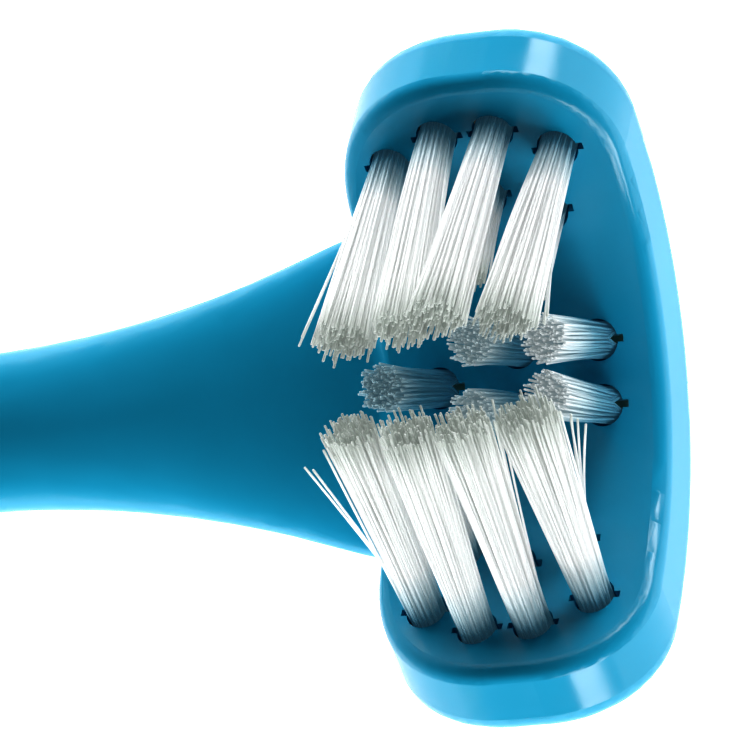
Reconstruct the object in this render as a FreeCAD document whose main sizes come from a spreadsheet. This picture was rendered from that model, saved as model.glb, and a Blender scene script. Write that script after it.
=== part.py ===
import FreeCAD, Part
import math
import os
import Sketcher

# Pet toothbrush with a three-sided head: one moulded body (handle and saddle-shaped head),
# nylon tufts folded over small metal anchors in blind holes.
# Frame: +X along the handle towards the head, +Y across the head, +Z up through the bristles.
# The origin is the middle of the bounding box, at the plane of the flat back.

V = FreeCAD.Vector
doc = FreeCAD.newDocument("PetToothbrush")

DIMENSIONS = [
    ("total_length", 186.0, "handle end to head tip"),
    ("head_length", 13.9, "head along the handle direction"),
    ("saddle_radius", 16.5, "inner radius of the trough"),
    ("plate_thick", 3.6, "wall of the trough"),
    ("wing_angle", 52.3, "half angle of the trough section, degrees"),
    ("front_corner", 5.1, "lobe corners at the tip side"),
    ("back_corner", 7.0, "lobe corners at the handle side"),
    ("inner_rim", 0.7, "rounding of the bristle-side edge"),
    ("outer_rim", 0.9, "rounding of the back edge"),
    ("back_flat", 0.3, "depth of the flat on the back"),
    ("hole_dia", 1.9, "tuft hole"),
    ("hole_depth", 2.6, "tuft hole below the trough surface"),
    ("hole_pitch", 2.71, "tuft holes along the handle direction"),
    ("side_lean", 46.0, "side tufts from vertical, degrees"),
    ("outer_free", 11.4, "free length, first and last outer side tufts"),
    ("outer_long_free", 12.3, "free length, middle outer side tufts"),
    ("inner_free", 5.2, "free length, inner side tufts"),
    ("floor_free", 6.4, "free length, floor tufts"),
    ("tuft_gap", 0.05, "tuft to hole wall"),
    ("outer_tip", 2.5, "spread tip of an outer side tuft"),
    ("outer_long_tip", 2.5, "spread tip of a middle outer side tuft"),
    ("inner_tip", 2.1, "spread tip of an inner side tuft"),
    ("floor_tip", 2.2, "spread tip of a floor tuft"),
    ("anchor_width", 2.4, "anchor across the hole"),
    ("anchor_thick", 0.3, "anchor sheet"),
    ("anchor_height", 1.2, "anchor along the hole"),
    ("anchor_seat", 0.6, "fold of filaments under the anchor"),
    ("anchor_gap", 0.02, "anchor to its slot"),
    ("neck_width", 7.3, "narrowest part of the handle"),
    ("grip_width", 12.6, "widest part of the grip"),
    ("junction_fillet", 1.2, "blend of the handle into the head"),
    ("end_rounding", 2.5, "rounding of the handle end"),
]

sheet = doc.addObject("Spreadsheet::Sheet", "Dims")
D = {}
for row, (alias, value, note) in enumerate(DIMENSIONS, start=1):
    sheet.set(f"A{row}", alias)
    sheet.set(f"B{row}", str(value))
    sheet.setAlias(f"B{row}", alias)
    sheet.set(f"C{row}", note)
    D[alias] = value
doc.recompute()

HEAD_MID = D["total_length"] / 2 - D["head_length"] / 2
HEAD_BACK = D["total_length"] / 2 - D["head_length"]
FLOOR_Z = D["plate_thick"] - D["back_flat"]
ARC_Z = FLOOR_Z + D["saddle_radius"]
PITCH = D["hole_pitch"]


def plane(body, role):
    for feature in body.Origin.OriginFeatures:
        if feature.Role == role:
            return feature


def sketch_on(body, name, role="XY_Plane", offset=None):
    sketch = body.newObject("Sketcher::SketchObject", name)
    sketch.AttachmentSupport = [(plane(body, role), "")]
    sketch.MapMode = "FlatFace"
    if offset is not None:
        sketch.AttachmentOffset = FreeCAD.Placement(V(0, 0, 0), FreeCAD.Rotation())
        sketch.setExpression("AttachmentOffset.Base.z", offset)
    return sketch


def named_body(label):
    body = doc.addObject("PartDesign::Body", label)
    body.Label = label
    return body


def surface_z(y):
    """Height of the trough surface at a distance y from the middle plane."""
    return ARC_Z - math.sqrt(D["saddle_radius"] ** 2 - y**2)


def fillet(body, name, edges, radius):
    base = body.Tip
    feature = body.newObject("PartDesign::Fillet", name)
    feature.Base = (base, edges)
    feature.setExpression("Radius", radius)
    body.Tip = feature
    doc.recompute()
    return feature


# ---- moulded body: saddle-shaped head ---------------------------------------------------------

brush = named_body("brush_body")


def saddle_section():
    sketch = sketch_on(brush, "SaddleSection", "YZ_Plane", "Dims.total_length / 2 - Dims.head_length")
    centre = V(0, ARC_Z, 0)
    start = math.radians(270 - D["wing_angle"])
    end = math.radians(270 + D["wing_angle"])
    inner_r = D["saddle_radius"]
    outer_r = inner_r + D["plate_thick"]
    up = V(0, 0, 1)
    inner = sketch.addGeometry(Part.ArcOfCircle(Part.Circle(centre, up, inner_r), start, end))
    outer = sketch.addGeometry(Part.ArcOfCircle(Part.Circle(centre, up, outer_r), start, end))

    def at(radius, angle):
        return centre + V(radius * math.cos(angle), radius * math.sin(angle), 0)

    left = sketch.addGeometry(Part.LineSegment(at(inner_r, start), at(outer_r, start)))
    right = sketch.addGeometry(Part.LineSegment(at(inner_r, end), at(outer_r, end)))
    C = Sketcher.Constraint
    sketch.addConstraint([
        C("Coincident", inner, 3, outer, 3),
        C("PointOnObject", inner, 3, -2),
        C("Coincident", left, 1, inner, 1),
        C("Coincident", left, 2, outer, 1),
        C("Coincident", right, 1, inner, 2),
        C("Coincident", right, 2, outer, 2),
        C("PointOnObject", inner, 3, left),
        C("PointOnObject", inner, 3, right),
        C("Symmetric", inner, 1, inner, 2, -2),
    ])
    bound = [
        (C("Radius", inner, inner_r), "Dims.saddle_radius"),
        (C("Radius", outer, outer_r), "Dims.saddle_radius + Dims.plate_thick"),
        (C("DistanceY", -1, 1, inner, 3, ARC_Z),
         "Dims.plate_thick - Dims.back_flat + Dims.saddle_radius"),
        (C("Angle", right, math.radians(D["wing_angle"] - 90)), "(Dims.wing_angle - 90) * 1 deg"),
    ]
    for constraint, expression in bound:
        index = sketch.addConstraint(constraint)
        sketch.setExpression(f"Constraints[{index}]", expression)
    return sketch


pad = brush.newObject("PartDesign::Pad", "SaddlePad")
pad.Profile = saddle_section()
pad.setExpression("Length", "Dims.head_length")
brush.Tip = pad
doc.recompute()


def edges_of(shape, wanted):
    return [f"Edge{i + 1}" for i, edge in enumerate(shape.Edges) if wanted(edge)]


def arc_radius(point):
    return math.hypot(point.y, point.z - ARC_Z)


def is_lobe_corner(face_x):
    def wanted(edge):
        start, end = edge.Vertexes[0].Point, edge.Vertexes[-1].Point
        on_face = abs(start.x - face_x) < 1e-6 and abs(end.x - face_x) < 1e-6
        return on_face and abs((start - end).Length - D["plate_thick"]) < 1e-3

    return wanted


def is_rim(radius):
    def wanted(edge):
        return all(abs(arc_radius(p) - radius) < 1e-3 for p in edge.discretize(7))

    return wanted


front_edges = edges_of(brush.Tip.Shape, is_lobe_corner(D["total_length"] / 2))
fillet(brush, "FrontCorners", front_edges, "Dims.front_corner")
back_edges = edges_of(brush.Tip.Shape, is_lobe_corner(HEAD_BACK))
fillet(brush, "BackCorners", back_edges, "Dims.back_corner")
outer_edges = edges_of(brush.Tip.Shape, is_rim(D["saddle_radius"] + D["plate_thick"]))
fillet(brush, "OuterRim", outer_edges, "Dims.outer_rim")
inner_edges = edges_of(brush.Tip.Shape, is_rim(D["saddle_radius"]))
fillet(brush, "InnerRim", inner_edges, "Dims.inner_rim")

# ---- moulded body: handle ---------------------------------------------------------------------

# distance back from the head, width, underside and top face over the trough floor
HANDLE = [
    (-4.0, 12.5, -3.1, -0.5),
    (0.0, 15.4, -3.6, -0.12),
    (2.2, 14.2, -3.6, 0.0),
    (4.6, 12.6, -3.6, 0.15),
    (7.4, 10.9, -3.6, 0.35),
    (10.3, 9.5, -3.6, 0.55),
    (13.4, 8.4, -3.6, 0.75),
    (17.0, 7.6, -3.6, 0.95),
    (22.0, D["neck_width"], -3.6, 1.2),
    (29.0, D["neck_width"], -3.6, 1.6),
    (38.0, 7.9, -3.6, 2.1),
    (50.0, 9.2, -3.6, 2.9),
    (64.0, 10.9, -3.6, 3.8),
    (80.0, 12.2, -3.6, 4.6),
    (98.0, D["grip_width"], -3.6, 5.1),
    (116.0, D["grip_width"], -3.6, 5.2),
    (134.0, 12.2, -3.6, 5.0),
    (150.0, 11.7, -3.6, 4.6),
    (163.0, 11.1, -3.6, 4.2),
    (D["total_length"] - D["head_length"], 10.0, -3.6, 3.8),
]


def handle_section(index, back, width, under, top):
    sketch = sketch_on(
        brush,
        f"HandleSection{index}",
        "YZ_Plane",
        f"Dims.total_length / 2 - Dims.head_length - {back}",
    )
    thick = top - under
    middle = FLOOR_Z + (top + under) / 2
    oval = sketch.addGeometry(
        Part.Ellipse(V(width / 2, middle, 0), V(0, middle + thick / 2, 0), V(0, middle, 0))
    )
    sketch.exposeInternalGeometry(oval)
    long_axis = oval + 1
    short_axis = oval + 2
    C = Sketcher.Constraint
    sketch.addConstraint([C("PointOnObject", oval, 3, -2), C("Horizontal", long_axis)])
    sketch.addConstraint(C("Distance", long_axis, width))
    sketch.addConstraint(C("Distance", short_axis, thick))
    sketch.addConstraint(C("DistanceY", -1, 1, oval, 3, middle))
    return sketch


sections = [handle_section(i, *row) for i, row in enumerate(HANDLE)]
loft = brush.newObject("PartDesign::AdditiveLoft", "HandleLoft")
loft.Profile = sections[0]
loft.Sections = sections[1:]
brush.Tip = loft
doc.recompute()


def is_handle_end(edge):
    return all(abs(p.x + D["total_length"] / 2) < 1e-6 for p in edge.discretize(5))


fillet(brush, "HandleEnd", edges_of(brush.Tip.Shape, is_handle_end), "Dims.end_rounding")

handle_face = max(brush.Tip.Shape.Faces, key=lambda face: face.Area)


def is_junction(edge):
    meets_handle = any(edge.isSame(other) for other in handle_face.Edges)
    return meets_handle and edge.BoundBox.XMin > HEAD_BACK - 1


fillet(brush, "HeadJunction", edges_of(brush.Tip.Shape, is_junction), "Dims.junction_fillet")

flat = brush.newObject("PartDesign::SubtractiveBox", "BackFlat")
flat.setExpression("Length", "Dims.total_length")
flat.setExpression("Width", "Dims.head_length * 2")
flat.setExpression("Height", "Dims.back_flat * 10")
flat.setExpression("Placement.Base.x", "-Dims.total_length / 2")
flat.setExpression("Placement.Base.y", "-Dims.head_length")
flat.setExpression("Placement.Base.z", "-Dims.back_flat * 10")
brush.Tip = flat
doc.recompute()

# ---- tuft layout ------------------------------------------------------------------------------

# side of the middle plane, row, number, pitches along X from the head middle, distance from the
# middle plane, kind of tuft
ROWS = []
for side, sign in (("left", 1), ("right", -1)):
    for number, (step, across, kind) in enumerate(
        [(-1.5, 10.0, "outer"), (-0.5, 11.0, "outer_long"), (0.5, 11.0, "outer_long"), (1.5, 10.0, "outer")],
        start=1,
    ):
        ROWS.append((f"{side}_outer_{number}", sign, step, across, kind))
    for number, (step, across) in enumerate([(-1, 7.4), (0, 8.3), (1, 7.4)], start=1):
        ROWS.append((f"{side}_inner_{number}", sign, step, across, "inner"))
for side, sign in (("left", 1), ("right", -1)):
    for number, step in enumerate([0, 1.45], start=2):
        ROWS.append((f"{side}_floor_{number}", sign, step, 1.47, "floor"))
ROWS.append(("middle_floor_1", 1, -1.45, 0.0, "floor"))


def hole_frame(sign, step, across, kind):
    """Placement at the bottom of a tuft hole, local +Z out along the tuft."""
    lean = 0.0 if kind == "floor" else sign * D["side_lean"]
    turn = FreeCAD.Rotation(V(1, 0, 0), lean)
    mouth = V(HEAD_MID + step * PITCH, sign * across, surface_z(across))
    return FreeCAD.Placement(mouth - turn.multVec(V(0, 0, D["hole_depth"])), turn)


# ---- moulded body: tuft holes and anchor slots --------------------------------------------------

for label, sign, step, across, kind in ROWS:
    frame = hole_frame(sign, step, across, kind)
    hole = brush.newObject("PartDesign::SubtractiveCylinder", f"Hole_{label}")
    hole.setExpression("Radius", "Dims.hole_dia / 2")
    hole.setExpression("Height", "Dims.hole_depth * 2")
    hole.Placement = frame
    brush.Tip = hole
    slot = brush.newObject("PartDesign::SubtractiveBox", f"Slot_{label}")
    slot.setExpression("Length", "Dims.anchor_width + 2 * Dims.anchor_gap")
    slot.setExpression("Width", "Dims.anchor_thick + 2 * Dims.anchor_gap")
    slot.setExpression("Height", "Dims.hole_depth * 2")
    corner = V(
        -D["anchor_width"] / 2 - D["anchor_gap"],
        -D["anchor_thick"] / 2 - D["anchor_gap"],
        D["anchor_seat"] - D["anchor_gap"],
    )
    slot.Placement = frame.multiply(FreeCAD.Placement(corner, FreeCAD.Rotation()))
    brush.Tip = slot
doc.recompute()

# ---- tufts and anchors --------------------------------------------------------------------------


def tuft(label, frame, kind):
    """Bundle of filaments: folded round the anchor in the hole, spreading towards its tip."""
    body = named_body(f"tuft_{label}")
    sketch = sketch_on(body, f"Profile_{label}", "XZ_Plane")
    root_r = D["hole_dia"] / 2 - D["tuft_gap"]
    tip_r = D[f"{kind}_tip"] / 2
    low = D["tuft_gap"]
    mouth = D["hole_depth"]
    top = D["hole_depth"] + D[f"{kind}_free"]
    corners = [V(0, low, 0), V(root_r, low, 0), V(root_r, mouth, 0), V(tip_r, top, 0), V(0, top, 0)]
    lines = [
        sketch.addGeometry(Part.LineSegment(corners[i], corners[(i + 1) % 5])) for i in range(5)
    ]
    C = Sketcher.Constraint
    for i in range(5):
        sketch.addConstraint(C("Coincident", lines[i], 2, lines[(i + 1) % 5], 1))
    sketch.addConstraint([
        C("Horizontal", lines[0]),
        C("Vertical", lines[1]),
        C("Horizontal", lines[3]),
        C("PointOnObject", lines[0], 1, -2),
        C("PointOnObject", lines[4], 1, -2),
    ])
    bound = [
        (C("DistanceY", -1, 1, lines[0], 1, low), "Dims.tuft_gap"),
        (C("DistanceX", -1, 1, lines[1], 1, root_r), "Dims.hole_dia / 2 - Dims.tuft_gap"),
        (C("DistanceY", -1, 1, lines[1], 2, mouth), "Dims.hole_depth"),
        (C("DistanceX", -1, 1, lines[3], 1, tip_r), f"Dims.{kind}_tip / 2"),
        (C("DistanceY", -1, 1, lines[3], 1, top), f"Dims.hole_depth + Dims.{kind}_free"),
    ]
    for constraint, expression in bound:
        index = sketch.addConstraint(constraint)
        sketch.setExpression(f"Constraints[{index}]", expression)
    turned = body.newObject("PartDesign::Revolution", f"Bundle_{label}")
    turned.Profile = sketch
    turned.ReferenceAxis = (sketch, ["V_Axis"])
    turned.Angle = 360
    body.Tip = turned
    groove = body.newObject("PartDesign::SubtractiveBox", f"Fold_{label}")
    groove.setExpression("Length", "Dims.hole_dia * 2")
    groove.setExpression("Width", "Dims.anchor_thick + 2 * Dims.anchor_gap")
    groove.setExpression("Height", "Dims.anchor_height + 2 * Dims.anchor_gap")
    groove.Placement.Base = V(
        -D["hole_dia"],
        -D["anchor_thick"] / 2 - D["anchor_gap"],
        D["anchor_seat"] - D["anchor_gap"],
    )
    body.Tip = groove
    body.Placement = frame
    return body


def anchor(label, frame):
    """Flat metal strip pressed across the hole; its two edges bite into the wall."""
    body = named_body(f"anchor_{label}")
    strip = body.newObject("PartDesign::AdditiveBox", f"Strip_{label}")
    strip.setExpression("Length", "Dims.anchor_width")
    strip.setExpression("Width", "Dims.anchor_thick")
    strip.setExpression("Height", "Dims.anchor_height")
    strip.Placement.Base = V(-D["anchor_width"] / 2, -D["anchor_thick"] / 2, D["anchor_seat"])
    body.Tip = strip
    body.Placement = frame
    return body


nodes = [brush]
for label, sign, step, across, kind in ROWS:
    frame = hole_frame(sign, step, across, kind)
    nodes.append(tuft(label, frame, kind))
    nodes.append(anchor(label, frame))
doc.recompute()

# ---- checks and export --------------------------------------------------------------------------

for feature in doc.Objects:
    if "Invalid" in feature.State or "Error" in feature.State:
        raise RuntimeError(f"{feature.Name} did not recompute")

os.makedirs("parts", exist_ok=True)
for node in nodes:
    if not node.Shape.isValid() or len(node.Shape.Solids) != 1:
        raise RuntimeError(f"{node.Label} is not one valid solid")
    node.Shape.exportStep(f"parts/{node.Label}.step")
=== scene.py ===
import math
import random

import bpy
from mathutils import Matrix, Vector


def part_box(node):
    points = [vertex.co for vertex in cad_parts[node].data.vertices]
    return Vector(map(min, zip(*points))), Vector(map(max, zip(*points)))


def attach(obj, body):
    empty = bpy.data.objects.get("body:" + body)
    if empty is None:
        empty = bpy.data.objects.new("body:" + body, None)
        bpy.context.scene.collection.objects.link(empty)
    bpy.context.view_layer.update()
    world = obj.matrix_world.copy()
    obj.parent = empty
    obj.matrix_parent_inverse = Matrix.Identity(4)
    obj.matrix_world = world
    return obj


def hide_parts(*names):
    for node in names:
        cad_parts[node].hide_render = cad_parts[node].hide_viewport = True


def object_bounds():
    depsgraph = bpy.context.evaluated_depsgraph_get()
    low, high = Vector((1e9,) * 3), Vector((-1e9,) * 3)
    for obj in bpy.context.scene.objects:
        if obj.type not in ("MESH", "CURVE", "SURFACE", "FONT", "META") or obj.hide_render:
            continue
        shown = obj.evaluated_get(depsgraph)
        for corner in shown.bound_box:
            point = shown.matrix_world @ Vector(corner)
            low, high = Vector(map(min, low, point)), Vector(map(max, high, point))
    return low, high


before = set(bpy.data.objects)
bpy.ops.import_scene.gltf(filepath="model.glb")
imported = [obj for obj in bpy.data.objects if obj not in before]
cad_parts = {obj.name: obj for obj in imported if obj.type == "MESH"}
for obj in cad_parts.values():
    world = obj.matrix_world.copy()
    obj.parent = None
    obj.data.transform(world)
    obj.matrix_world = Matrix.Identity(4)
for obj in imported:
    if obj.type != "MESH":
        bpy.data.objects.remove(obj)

CAD_BOX = [list(corner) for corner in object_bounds()]
MM = 0.001
SIDE_LEAN = math.radians(46.0)
SHARP_EDGE = math.radians(40)

# ---- node helpers -------------------------------------------------------------------------------


def new_material(name):
    material = bpy.data.materials.new(name)
    material.use_nodes = True
    tree = material.node_tree
    shader = next(n for n in tree.nodes if n.type == "BSDF_PRINCIPLED")
    return material, tree, shader


def node(tree, kind, inputs=None, **settings):
    made = tree.nodes.new(kind)
    for key, value in settings.items():
        setattr(made, key, value)
    for key, value in (inputs or {}).items():
        if isinstance(value, bpy.types.NodeSocket):
            tree.links.new(value, made.inputs[key])
        else:
            made.inputs[key].default_value = value
    return made


def object_coords(tree):
    return node(tree, "ShaderNodeTexCoord").outputs["Object"]


def ramp(tree, fac, stops):
    made = node(tree, "ShaderNodeValToRGB", {"Fac": fac})
    elements = made.color_ramp.elements
    for element, (position, colour) in zip(elements, (stops[0], stops[-1])):
        element.position = position
        element.color = (*colour, 1)
    for position, colour in stops[1:-1]:
        element = elements.new(position)
        element.color = (*colour, 1)
    return made.outputs["Color"]


# ---- materials ----------------------------------------------------------------------------------

# most values of a noise texture lie between these two
NOISE_LOW, NOISE_HIGH = 0.3, 0.7
PLASTIC_DARK, PLASTIC_LIGHT = (0.014, 0.30, 0.48), (0.018, 0.34, 0.55)
PLASTIC_GLOSSY, PLASTIC_DULL = 0.14, 0.22
PLASTIC_IOR = 1.5
FLOW_SCALE, FINE_SCALE, GRAIN_SCALE = 90.0, 700.0, 2500.0
RIPPLE_STRENGTH, RIPPLE_HEIGHT = 0.15, 0.1 * MM
METAL_DARK, METAL_LIGHT = (0.5, 0.42, 0.28), (0.66, 0.57, 0.4)
METAL_ROUGHNESS = 0.35
# painted shade: the dim blue-grey low end, up to 0.22, is painted shade and painted blue bounce for
# filaments in the hole and at the mouth, and the grey at 1.0 is painted shade on the cut ends;
# between them lies the filaments' own milk-white
NYLON_TONES_AND_SHADE = [
    (0.0, (0.05, 0.20, 0.30)),
    (0.14, (0.12, 0.28, 0.36)),
    (0.22, (0.38, 0.50, 0.54)),
    (0.34, (0.69, 0.71, 0.71)),
    (0.82, (0.70, 0.72, 0.71)),
    (1.0, (0.47, 0.51, 0.48)),
]
NYLON_ROUGHNESS = 0.38
NYLON_SCATTER, NYLON_SCATTER_SCALE = 0.5, 0.3 * MM
# stands in for the light that clear filaments pass on to each other inside a tuft
NYLON_GLOW = 0.1


def plastic():
    material, tree, shader = new_material("body_plastic")
    where = object_coords(tree)
    flow = node(tree, "ShaderNodeTexNoise", {"Vector": where, "Scale": FLOW_SCALE, "Detail": 3.0})
    stops = [(NOISE_LOW, PLASTIC_DARK), (NOISE_HIGH, PLASTIC_LIGHT)]
    colour = ramp(tree, flow.outputs["Fac"], stops)
    tree.links.new(colour, shader.inputs["Base Color"])
    fine = node(tree, "ShaderNodeTexNoise", {"Vector": where, "Scale": FINE_SCALE, "Detail": 2.0})
    rough = node(
        tree,
        "ShaderNodeMapRange",
        {
            "Value": fine.outputs["Fac"],
            "From Min": NOISE_LOW,
            "From Max": NOISE_HIGH,
            "To Min": PLASTIC_GLOSSY,
            "To Max": PLASTIC_DULL,
        },
    )
    tree.links.new(rough.outputs["Result"], shader.inputs["Roughness"])
    bump = node(
        tree,
        "ShaderNodeBump",
        {
            "Height": flow.outputs["Fac"],
            "Strength": RIPPLE_STRENGTH,
            "Distance": RIPPLE_HEIGHT,
        },
    )
    tree.links.new(bump.outputs["Normal"], shader.inputs["Normal"])
    shader.inputs["IOR"].default_value = PLASTIC_IOR
    return material


def nylon():
    """Filaments: painted shade in dim blue-grey in the hole and up from the mouth, milk-white along
    their length, painted grey shade at the cut ends.
    """
    material, tree, shader = new_material("bristle_nylon")
    shade = node(tree, "ShaderNodeAttribute", attribute_name="shade", attribute_type="GEOMETRY")
    colour = ramp(tree, shade.outputs["Fac"], NYLON_TONES_AND_SHADE)
    tree.links.new(colour, shader.inputs["Base Color"])
    shader.inputs["Roughness"].default_value = NYLON_ROUGHNESS
    shader.inputs["Subsurface Weight"].default_value = NYLON_SCATTER
    shader.inputs["Subsurface Radius"].default_value = (1.0, 1.0, 1.0)
    shader.inputs["Subsurface Scale"].default_value = NYLON_SCATTER_SCALE
    tree.links.new(colour, shader.inputs["Emission Color"])
    shader.inputs["Emission Strength"].default_value = NYLON_GLOW
    return material


def anchor_metal():
    material, tree, shader = new_material("anchor_metal")
    where = object_coords(tree)
    grain = node(tree, "ShaderNodeTexNoise", {"Vector": where, "Scale": GRAIN_SCALE})
    stops = [(NOISE_LOW, METAL_DARK), (NOISE_HIGH, METAL_LIGHT)]
    colour = ramp(tree, grain.outputs["Fac"], stops)
    tree.links.new(colour, shader.inputs["Base Color"])
    shader.inputs["Metallic"].default_value = 1.0
    shader.inputs["Roughness"].default_value = METAL_ROUGHNESS
    return material


PLASTIC = plastic()
NYLON = nylon()
METAL = anchor_metal()

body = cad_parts["brush_body"]
body.data.materials.clear()
body.data.materials.append(PLASTIC)
body.data.polygons.foreach_set("use_smooth", [True] * len(body.data.polygons))
body.data.set_sharp_from_angle(angle=SHARP_EDGE)
for name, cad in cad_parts.items():
    if name.startswith("anchor_"):
        cad.data.materials.clear()
        cad.data.materials.append(METAL)

# ---- tufts --------------------------------------------------------------------------------------

FILAMENT_R = 0.058 * MM
HOLE_DEPTH = 2.6 * MM
SIDES = 6
GOLDEN = math.pi * (3 - math.sqrt(5))
# a cut end: length of its taper and radius of its last ring, both in filament radii
END_LENGTH, END_RADIUS = 0.6, 0.45
# spreads of the random draws, in mm, and of the length as a share
ROOT_JITTER, TIP_JITTER, BEND_JITTER, LENGTH_JITTER = 0.04, 0.07, 0.04, 0.01
# a strand keeps this far from the middle plane of its anchor, in mm
ANCHOR_CLEAR = 0.3
# in the hole a tuft is this much narrower along the brush
HOLE_SQUEEZE = 0.97
# a tip's drift grows with this power of the height
DRIFT_POWER = 1.1
# painted shade: where filaments in the hole and at the mouth sit on the ramp, in its dark blue-grey
# end
HOLE_SHADE_TONE, MOUTH_SHADE_TONE = 0.1, 0.12
# a loose filament: its place as a share of ROOT_R, its distance from the middle plane in mm,
# and the length of its other half as a share
STRAY_EDGE, STRAY_OFFSET, STRAY_HELD = 0.8, 0.25, 0.97
ROOT_R = 0.80


def tube(verts, faces, shades, path, radii, tones):
    """A thin closed tube along path, its rings turned as little as possible."""
    start = len(verts)
    across = None
    for i, point in enumerate(path):
        ahead = path[min(i + 1, len(path) - 1)] - path[max(i - 1, 0)]
        ahead.normalize()
        if across is None:
            across = ahead.orthogonal().normalized()
        across = (across - ahead * across.dot(ahead)).normalized()
        other = ahead.cross(across)
        for k in range(SIDES):
            turn = 2 * math.pi * k / SIDES
            verts.append(point + (across * math.cos(turn) + other * math.sin(turn)) * radii[i])
            shades.append(tones[i])
    for i in range(len(path) - 1):
        for k in range(SIDES):
            a = start + i * SIDES + k
            b = start + i * SIDES + (k + 1) % SIDES
            faces.append((a, b, b + SIDES, a + SIDES))
    faces.append(tuple(start + k for k in reversed(range(SIDES))))
    last = start + (len(path) - 1) * SIDES
    faces.append(tuple(last + k for k in range(SIDES)))


# height from the mouth in mm, and the share of a strand's distance from the anchor's plane
IN_HOLE = ((-2.35, 0.0), (-2.2, 0.55), (-1.9, 0.95), (-1.0, 1.0), (-0.3, 1.0))
FREE_STEPS = 10
# a tuft splays less across its row than along it, in mm
FLAT_TIP_R = 1.2


def filament_half(mouth, axes, spot, tip, bend, length, sway):
    """Points and tones from the fold under the anchor up to the tip of one filament."""
    axis, side, over = axes
    x, y = spot
    points, tones = [], []
    for height, squeeze in IN_HOLE:
        away = math.copysign(max(abs(y), ANCHOR_CLEAR * MM), y) * squeeze
        points.append(mouth + axis * height * MM + side * x * HOLE_SQUEEZE + over * away)
        tones.append(HOLE_SHADE_TONE)
    for i in range(1, FREE_STEPS + 1):
        t = i / FREE_STEPS
        drift = t**DRIFT_POWER
        flat = Vector((x, y)).lerp(tip, drift) + bend * math.sin(math.pi * t) + sway * drift
        points.append(mouth + axis * length * t + side * flat.x + over * flat.y)
        # painted shade: dark at the mouth, lightening up the free length to the grey painted shade
        # of the cut end
        tones.append(MOUTH_SHADE_TONE + (1 - MOUTH_SHADE_TONE) * t)
    return points, tones


def add_filament(verts, faces, shades, halves):
    (first, first_tones), (second, second_tones) = halves
    path = list(reversed(first)) + second
    tones = list(reversed(first_tones)) + second_tones
    start = path[0] + (path[0] - path[1]).normalized() * FILAMENT_R * END_LENGTH
    end = path[-1] + (path[-1] - path[-2]).normalized() * FILAMENT_R * END_LENGTH
    path = [start] + path + [end]
    tones = [tones[0]] + tones + [tones[-1]]
    radii = [FILAMENT_R] * len(path)
    radii[0] = radii[-1] = FILAMENT_R * END_RADIUS
    tube(verts, faces, shades, path, radii, tones)


def make_tuft(label, seed, tip_r, sway, strays, shade_reach, ragged, count):
    """Bundle of folded filaments in one hole. sway and strays are tip shifts in mm, along the brush
    and across the tuft; a stray also has its own length as a share of the bundle's."""
    rng = random.Random(seed)
    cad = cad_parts[f"tuft_{label}"]
    low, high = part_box(f"anchor_{label}")
    root = (low + high) / 2
    lean = 0.0
    if "floor" not in label:
        lean = SIDE_LEAN if label.startswith("left") else -SIDE_LEAN
    axis = Vector((0, -math.sin(lean), math.cos(lean)))
    side = Vector((1, 0, 0))
    over = axis.cross(side)
    axes = (axis, side, over)
    heights = [(v.co - root).dot(axis) for v in cad.data.vertices]
    bottom, top = min(heights), max(heights)
    mouth = root + axis * (bottom + HOLE_DEPTH)
    length = top - bottom - HOLE_DEPTH
    sway = Vector(sway) * MM
    verts, faces, shades = [], [], []

    def half(spot, shift, share):
        spread = Vector((spot.x * tip_r, spot.y * min(tip_r, FLAT_TIP_R))) / ROOT_R
        tip = spread + Vector((rng.gauss(0, TIP_JITTER), rng.gauss(0, TIP_JITTER))) * MM
        bend = Vector((rng.gauss(0, BEND_JITTER), rng.gauss(0, BEND_JITTER))) * MM
        return filament_half(mouth, axes, spot, tip, bend, length * share, shift)

    for i in range(count):
        reach = math.sqrt((i + 0.5) / count)
        turn = i * GOLDEN
        x = ROOT_R * reach * math.cos(turn) * MM
        y = ROOT_R * abs(reach * math.sin(turn)) * MM
        halves = []
        for sign in (1, -1):
            spot = Vector((x + rng.uniform(-ROOT_JITTER, ROOT_JITTER) * MM, sign * y))
            share = 1 + rng.gauss(0, LENGTH_JITTER) - abs(rng.gauss(0, ragged)) * MM / length
            halves.append(half(spot, sway, share))
        add_filament(verts, faces, shades, halves)
    for along, across, share in strays:
        edge = math.copysign(ROOT_R * STRAY_EDGE, along) * MM
        shift = Vector((along, across)) * MM
        loose = half(Vector((edge, STRAY_OFFSET * MM)), shift, share)
        held = half(Vector((edge, -STRAY_OFFSET * MM)), sway, STRAY_HELD)
        add_filament(verts, faces, shades, [held, loose])
    mesh = bpy.data.meshes.new(f"bristles_{label}")
    mesh.from_pydata([tuple(v) for v in verts], [], faces)
    mesh.polygons.foreach_set("use_smooth", [True] * len(mesh.polygons))
    attribute = mesh.attributes.new("shade", "FLOAT", "POINT")
    # painted shade: the floor tufts' tones are scaled down into the dim blue-grey
    attribute.data.foreach_set("value", [tone * shade_reach for tone in shades])
    mesh.materials.append(NYLON)
    made = bpy.data.objects.new(f"bristles_{label}", mesh)
    bpy.context.scene.collection.objects.link(made)
    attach(made, "root")
    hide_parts(f"tuft_{label}")


# tips drift from the bundle's straight line, in mm: along the brush, across the tuft
SWAYS = {
    "left_outer_1": (0.34, 0.07),
    "right_outer_1": (0.33, -0.06),
    "left_outer_2": (0.85, -0.15),
    "right_outer_2": (0.9, 0.15),
    "left_outer_3": (0.12, 0.35),
    "right_outer_3": (0.8, 0.09),
    "left_outer_4": (0.03, 0.3),
    "right_outer_4": (0.6, 0.0),
    "left_floor_3": (-0.1, 0.0),
    "right_floor_3": (-0.15, 0.5),
    "left_floor_2": (0.3, 0.2),
    "right_floor_2": (0.1, -0.05),
    "middle_floor_1": (-0.2, 0.0),
}
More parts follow.
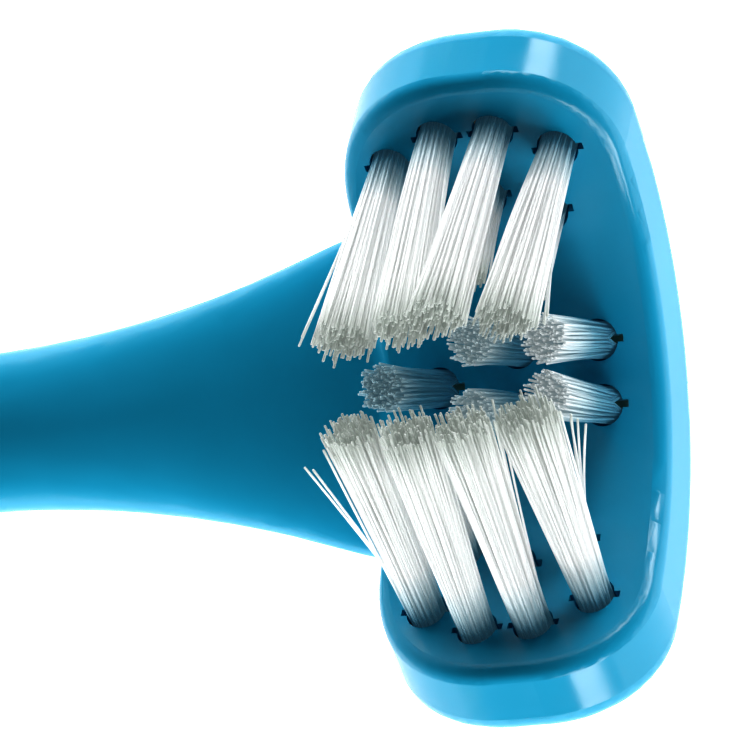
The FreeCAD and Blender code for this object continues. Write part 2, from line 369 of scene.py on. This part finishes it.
# loose filaments: tip shift in mm along the brush and across the tuft, length as a share
STRAYS = {
    "right_outer_1": [(-0.45, -1.95, 0.94), (-0.32, -1.88, 0.91)],
    "left_outer_1": [(-0.5, 0.0, 1.0), (-0.35, 0.1, 0.97)],
    "right_outer_3": [(1.0, 0.9, 1.0), (1.2, 0.8, 0.97)],
    "left_inner_3": [(0.9, 0.0, 1.5), (0.7, 0.1, 1.4), (0.8, -0.1, 1.45)],
    "right_inner_3": [(1.2, 0.0, 1.35), (1.5, 0.1, 1.3), (1.9, -0.1, 1.3), (1.35, 0.2, 1.38)],
}
# radius of the splayed tip in mm: the end tufts have room to spread
TIP_R = {
    "outer_1": 1.38,
    "outer_2": 1.3,
    "outer_3": 1.36,
    "outer_4": 1.5,
    "inner": 1.02,
    "floor": 1.06,
}
# how far up NYLON_TONES_AND_SHADE a tuft gets: the short floor tufts are held in its dim blue-grey
# end, painted shade and painted blue bounce
PAINTED_SHADE_REACH = {"floor_1": 0.2, "floor_2": 0.26, "floor_3": 0.31}
# spread of the cut length in mm
RAGGED = {"outer": 0.24, "inner": 0.2, "floor": 0.1}
# folded filaments in a tuft
COUNT = {"outer": 84, "inner": 84, "floor": 92}

labels = sorted(n[len("tuft_"):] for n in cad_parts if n.startswith("tuft_"))
FIRST_SEED = 11
for seed, label in enumerate(labels, start=FIRST_SEED):
    kind, number = label.split("_")[1:]
    place = f"{kind}_{number}"
    tip_r = TIP_R.get(place, TIP_R.get(kind))
    sway, strays = SWAYS.get(label, (0, 0)), STRAYS.get(label, ())
    shade_reach = PAINTED_SHADE_REACH.get(place, 1.0)
    make_tuft(label, seed, tip_r, sway, strays, shade_reach, RAGGED[kind], COUNT[kind])

# ---- floor, light and camera --------------------------------------------------------------------


FLOOR_SIZE = 1.5
FLOOR_GAP = 0.2 * MM
FLOOR_GREY, FLOOR_ROUGHNESS, FLOOR_GLOW = 0.85, 0.9, 0.9


def floor():
    size = FLOOR_SIZE
    corners = [(-size, -size, 0), (size, -size, 0), (size, size, 0), (-size, size, 0)]
    mesh = bpy.data.meshes.new("floor")
    mesh.from_pydata(corners, [], [(0, 1, 2, 3)])
    material, tree, shader = new_material("floor_pale")
    shader.inputs["Base Color"].default_value = (FLOOR_GREY, FLOOR_GREY, FLOOR_GREY, 1)
    shader.inputs["Roughness"].default_value = FLOOR_ROUGHNESS
    shader.inputs["Emission Color"].default_value = (1, 1, 1, 1)
    shader.inputs["Emission Strength"].default_value = FLOOR_GLOW
    mesh.materials.append(material)
    made = bpy.data.objects.new("floor", mesh)
    bpy.context.scene.collection.objects.link(made)
    made.location.z = CAD_BOX[0][2] - FLOOR_GAP


floor()
low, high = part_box("brush_body")
HEAD = Vector((high.x - 7 * MM, 0, 8 * MM))
LIGHT_DISTANCE = 0.6


def softbox(name, azimuth, elevation, width, height, power, mirrored=True):
    """Area light, placed by azimuth from +X and elevation in degrees as seen from the head."""
    a, e = math.radians(azimuth), math.radians(elevation)
    away = Vector((math.cos(a) * math.cos(e), math.sin(a) * math.cos(e), math.sin(e)))
    light = bpy.data.lights.new(name, "AREA")
    light.shape = "RECTANGLE"
    light.size = width
    light.size_y = height
    light.energy = power
    made = bpy.data.objects.new(name, light)
    bpy.context.scene.collection.objects.link(made)
    made.location = HEAD + away * LIGHT_DISTANCE
    made.rotation_euler = away.to_track_quat("Z", "Y").to_euler()
    made.visible_camera = False
    made.visible_glossy = mirrored


softbox("window_left", 64, 12, 0.30, 0.16, 1.0)
softbox("window_right", -60, 16, 0.40, 0.17, 1.25)
softbox("high_left", 88, 30, 0.36, 0.09, 0.5)
softbox("high_right", -80, 32, 0.36, 0.09, 0.5)
softbox("strip_left", 118, 2.5, 1.6, 0.05, 4.6, mirrored=False)
softbox("strip_right", -116, 2.5, 1.6, 0.05, 4.6, mirrored=False)
softbox("strip_front", 0, 2.5, 0.8, 0.05, 0.1, mirrored=False)

world = bpy.data.worlds.new("studio")
bpy.context.scene.world = world
world.use_nodes = True
tree = world.node_tree
sky = next(n for n in tree.nodes if n.type == "BACKGROUND")
where = node(tree, "ShaderNodeTexCoord").outputs["Generated"]
height = node(tree, "ShaderNodeSeparateXYZ", {"Vector": where}).outputs["Z"]
# light tent: bright round the sides, open and dim overhead
TENT_TONES = [
    (0.0, (0.8, 0.84, 0.88)),
    (0.28, (0.55, 0.58, 0.61)),
    (0.5, (0.07, 0.08, 0.08)),
    (1.0, (0.03, 0.04, 0.05)),
]
TENT_STRENGTH = 0.55
tent = ramp(tree, height, TENT_TONES)
tree.links.new(tent, sky.inputs["Color"])
sky.inputs["Strength"].default_value = TENT_STRENGTH
# the camera itself sees plain white
seen = node(tree, "ShaderNodeBackground", {"Color": (1, 1, 1, 1), "Strength": 1.0})
rays = node(tree, "ShaderNodeLightPath")
mix = node(tree, "ShaderNodeMixShader", {"Fac": rays.outputs["Is Camera Ray"]})
tree.links.new(sky.outputs[0], mix.inputs[1])
tree.links.new(seen.outputs[0], mix.inputs[2])
output = next(n for n in tree.nodes if n.type == "OUTPUT_WORLD")
tree.links.new(mix.outputs[0], output.inputs["Surface"])

TILT_X = math.radians(22.88)
TILT_Y = math.radians(-2.33)
ROLL = math.radians(5.67)
DISTANCE = 0.457
SPAN = 33.6 * MM
SENSOR = 36
TARGET = Vector((84 * MM, 0, 6 * MM))
# the picture's centre lies this far left of and above the target, in mm
AIM_LEFT, AIM_UP = 3.60, 0.42

camera = bpy.data.cameras.new("camera")
camera.sensor_width = SENSOR
camera.lens = SENSOR * DISTANCE / SPAN
back = Vector((math.sin(TILT_X), math.sin(TILT_Y), 0))
back.z = math.sqrt(1 - back.length_squared)
right = (Vector((1, 0, 0)) - back * back.x).normalized()
up = back.cross(right)
turned_right = right * math.cos(ROLL) - up * math.sin(ROLL)
turned_up = right * math.sin(ROLL) + up * math.cos(ROLL)
aim = TARGET - turned_right * AIM_LEFT * MM + turned_up * AIM_UP * MM
eye = aim + back * DISTANCE
viewer = bpy.data.objects.new("camera", camera)
bpy.context.scene.collection.objects.link(viewer)
viewer.matrix_world = Matrix(
    (
        (turned_right.x, turned_up.x, back.x, eye.x),
        (turned_right.y, turned_up.y, back.y, eye.y),
        (turned_right.z, turned_up.z, back.z, eye.z),
        (0, 0, 0, 1),
    )
)
camera.clip_start, camera.clip_end = 0.01, 10
bpy.context.scene.camera = viewer
bpy.context.scene.view_settings.view_transform = "Standard"
bpy.context.scene.view_settings.look = "High Contrast"
